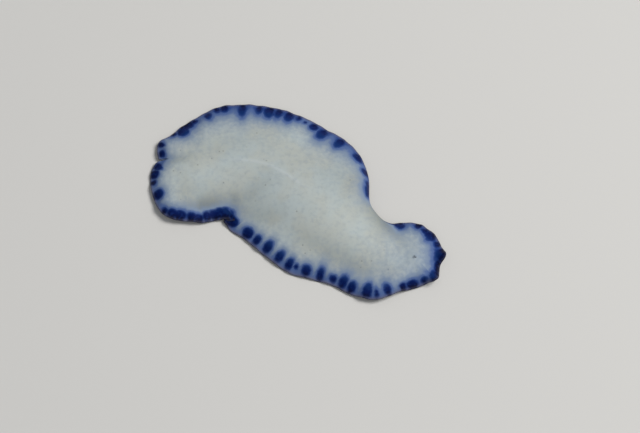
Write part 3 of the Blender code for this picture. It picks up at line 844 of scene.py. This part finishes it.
# The eyes: a cluster of tiny dark cups just behind the front of the head, in two lobes
eyes.update({
    "lobes": ((0.09, -0.03, 0.12), (0.01, -0.13, 0.07), (0.23, -0.01, 0.07)),   # ahead, to the left, radius
    "corners": 16,           # of each lobe's patch
    "cup": 0.025,
    "sizes": (0.7, 1.15),
    "apart": 0.042,
    "density": 4e9,          # more than there is room for, so the distance apart decides
    "seed": 11,
    "colour": (0.03, 0.037, 0.045),
    "paler": 1.8,
    "noiseScale": 9000,
    "noiseRamp": (0.3, 0.7),
    "roughness": 0.35,
    "above": 0.01,           # metres, clear of the back
})
skinTree = BVHTree.FromPolygons([Vector(v) for v in placed], faces)


def onSkin(x, y):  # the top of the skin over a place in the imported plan, in metres
    return skinTree.ray_cast(Vector((x, y, eyes["above"])), Vector((0, 0, -1)))[0]


def eyePatch():
    vertices = []
    polygons = []
    frontward, leftward = axesAt(eyes["place"])
    turns = 2 * math.pi * np.arange(eyes["corners"]) / eyes["corners"]
    for forward, sideway, radius in eyes["lobes"]:
        middle = eyePlan + shift[:2] + forward * frontward + sideway * leftward
        first = len(vertices)
        for turn in turns:
            corner = middle + radius * np.array([math.cos(turn), math.sin(turn)])
            vertices.append(onSkin(*(corner * mm)))
        polygons.append(list(range(first, first + eyes["corners"])))
    patch = bpy.data.meshes.new("eyePatch")
    patch.from_pydata(vertices, [], polygons)
    return patch


def eyePigment():
    material, tree, shader = newMaterial("eyePigment")
    vector = node(tree, "ShaderNodeTexCoord").outputs["Object"]
    shade = ramp(tree, noiseOf(tree, vector, eyes["noiseScale"]), *eyes["noiseRamp"])
    paler = tuple(eyes["paler"] * part for part in eyes["colour"])
    tree.links.new(mixColour(tree, shade, eyes["colour"], paler), shader.inputs["Base Color"])
    shader.inputs["Roughness"].default_value = eyes["roughness"]
    return material


def eyespotTree(material):
    tree = bpy.data.node_groups.new("eyespots", "GeometryNodeTree")
    tree.interface.new_socket("Geometry", in_out="OUTPUT", socket_type="NodeSocketGeometry")
    inputs = (("Geometry", "Geometry"), ("Cup Radius", "Float"), ("Apart", "Float"), ("Seed", "Int"))
    for name, kind in inputs:
        tree.interface.new_socket(name, in_out="INPUT", socket_type="NodeSocket" + kind)
    given = node(tree, "NodeGroupInput").outputs
    scatter = node(tree, "GeometryNodeDistributePointsOnFaces", distribute_method="POISSON")
    scatter.inputs["Density Max"].default_value = eyes["density"]
    cup = node(tree, "GeometryNodeMeshIcoSphere")
    cup.inputs["Subdivisions"].default_value = 2
    sizes = node(tree, "FunctionNodeRandomValue", data_type="FLOAT")
    sizes.inputs["Min"].default_value = eyes["sizes"][0]
    sizes.inputs["Max"].default_value = eyes["sizes"][1]
    put = node(tree, "GeometryNodeInstanceOnPoints")
    real = node(tree, "GeometryNodeRealizeInstances")
    dress = node(tree, "GeometryNodeSetMaterial")
    dress.inputs["Material"].default_value = material
    result = node(tree, "NodeGroupOutput")
    for source, target in (
        (given["Geometry"], scatter.inputs["Mesh"]),
        (given["Apart"], scatter.inputs["Distance Min"]),
        (given["Seed"], scatter.inputs["Seed"]),
        (given["Cup Radius"], cup.inputs["Radius"]),
        (given["Seed"], sizes.inputs["Seed"]),
        (scatter.outputs["Points"], put.inputs["Points"]),
        (cup.outputs["Mesh"], put.inputs["Instance"]),
        (sizes.outputs[1], put.inputs["Scale"]),
        (put.outputs["Instances"], real.inputs["Geometry"]),
        (real.outputs["Geometry"], dress.inputs["Geometry"]),
        (dress.outputs["Geometry"], result.inputs["Geometry"]),
    ):
        tree.links.new(source, target)
    return tree


def grown(name, mesh, tree, **values):  # the plain mesh that a tree makes from a mesh
    seedling = bpy.data.objects.new(name + "Seedling", mesh)
    bpy.context.scene.collection.objects.link(seedling)
    modifier = seedling.modifiers.new(name, "NODES")
    modifier.node_group = tree
    for item in tree.interface.items_tree:
        if item.in_out == "INPUT" and item.name in values:
            modifier[item.identifier] = values[item.name]
    bpy.context.view_layer.update()
    result = bpy.data.meshes.new_from_object(seedling.evaluated_get(bpy.context.evaluated_depsgraph_get()))
    seedling.modifiers.remove(modifier)
    bpy.data.objects.remove(seedling)
    made = bpy.data.objects.new(name, result)
    bpy.context.scene.collection.objects.link(made)
    return made


eyeCluster = grown("eyeCluster", eyePatch(), eyespotTree(eyePigment()),
                   **{"Cup Radius": eyes["cup"] * mm, "Apart": eyes["apart"] * mm, "Seed": eyes["seed"]})
eyeCluster.data.shade_smooth()
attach(eyeCluster, "root")
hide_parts(eyes["node"])
print("eyes", len(eyeCluster.data.polygons), "faces")

# Floor, light and camera
floor = {"size": 1.2, "colour": (0.60, 0.59, 0.57), "roughness": 0.9, "drop": 0.00001}   # in metres
half = floor["size"] / 2
floorCorners = [(x * half, y * half, 0) for x, y in ((-1, -1), (1, -1), (1, 1), (-1, 1))]
floorData = bpy.data.meshes.new("floor")
floorData.from_pydata(floorCorners, [], [(0, 1, 2, 3)])
paper, _, paperShader = newMaterial("paper")
paperShader.inputs["Base Color"].default_value = (*floor["colour"], 1)
paperShader.inputs["Roughness"].default_value = floor["roughness"]
floorData.materials.append(paper)
ground = bpy.data.objects.new("floor", floorData)
ground.location.z = -floor["drop"]
bpy.context.scene.collection.objects.link(ground)

view = {
    "elevation": 68.0,
    "lens": 90.0,
    "sensor": 36.0,
    "pixelsPerMm": 10.4,
    "imageWidth": 640,
    "clipStart": 0.005,
}
cameraData = bpy.data.cameras.new("camera")
cameraData.lens = view["lens"]
cameraData.sensor_width = view["sensor"]
cameraData.clip_start = view["clipStart"]
camera = bpy.data.objects.new("camera", cameraData)
away = view["lens"] / view["sensor"] * view["imageWidth"] / view["pixelsPerMm"] * mm
tilt = math.radians(view["elevation"])
camera.location = Vector(shift) * mm + away * Vector((0, -math.cos(tilt), math.sin(tilt)))
camera.rotation_euler = (math.radians(90) - tilt, 0, 0)
bpy.context.scene.collection.objects.link(camera)
bpy.context.scene.camera = camera

lights = (  # name, place, size, power, colour
    ("key", (0.3, 0.07, 0.42), 0.22, 2.36, (1.0, 0.99, 0.97)),
    ("fill", (0.1, -0.3, 0.5), 0.5, 0.35, (0.95, 0.98, 1.0)),
)
sky = {"colour": (0.93, 0.96, 1.0), "strength": 0.3}


def softLight(name, place, size, power, colour):
    data = bpy.data.lights.new(name, "AREA")
    data.size = size
    data.energy = power
    data.color = colour
    lamp = bpy.data.objects.new(name, data)
    lamp.location = place
    lamp.rotation_euler = (-Vector(place)).to_track_quat("-Z", "Y").to_euler()
    bpy.context.scene.collection.objects.link(lamp)


for light in lights:
    softLight(*light)
world = bpy.data.worlds.new("studio")
world.use_nodes = True
background = world.node_tree.nodes["Background"]
background.inputs["Color"].default_value = (*sky["colour"], 1)
background.inputs["Strength"].default_value = sky["strength"]
bpy.context.scene.world = world
bpy.context.scene.view_settings.view_transform = "Standard"

print("scene ready")
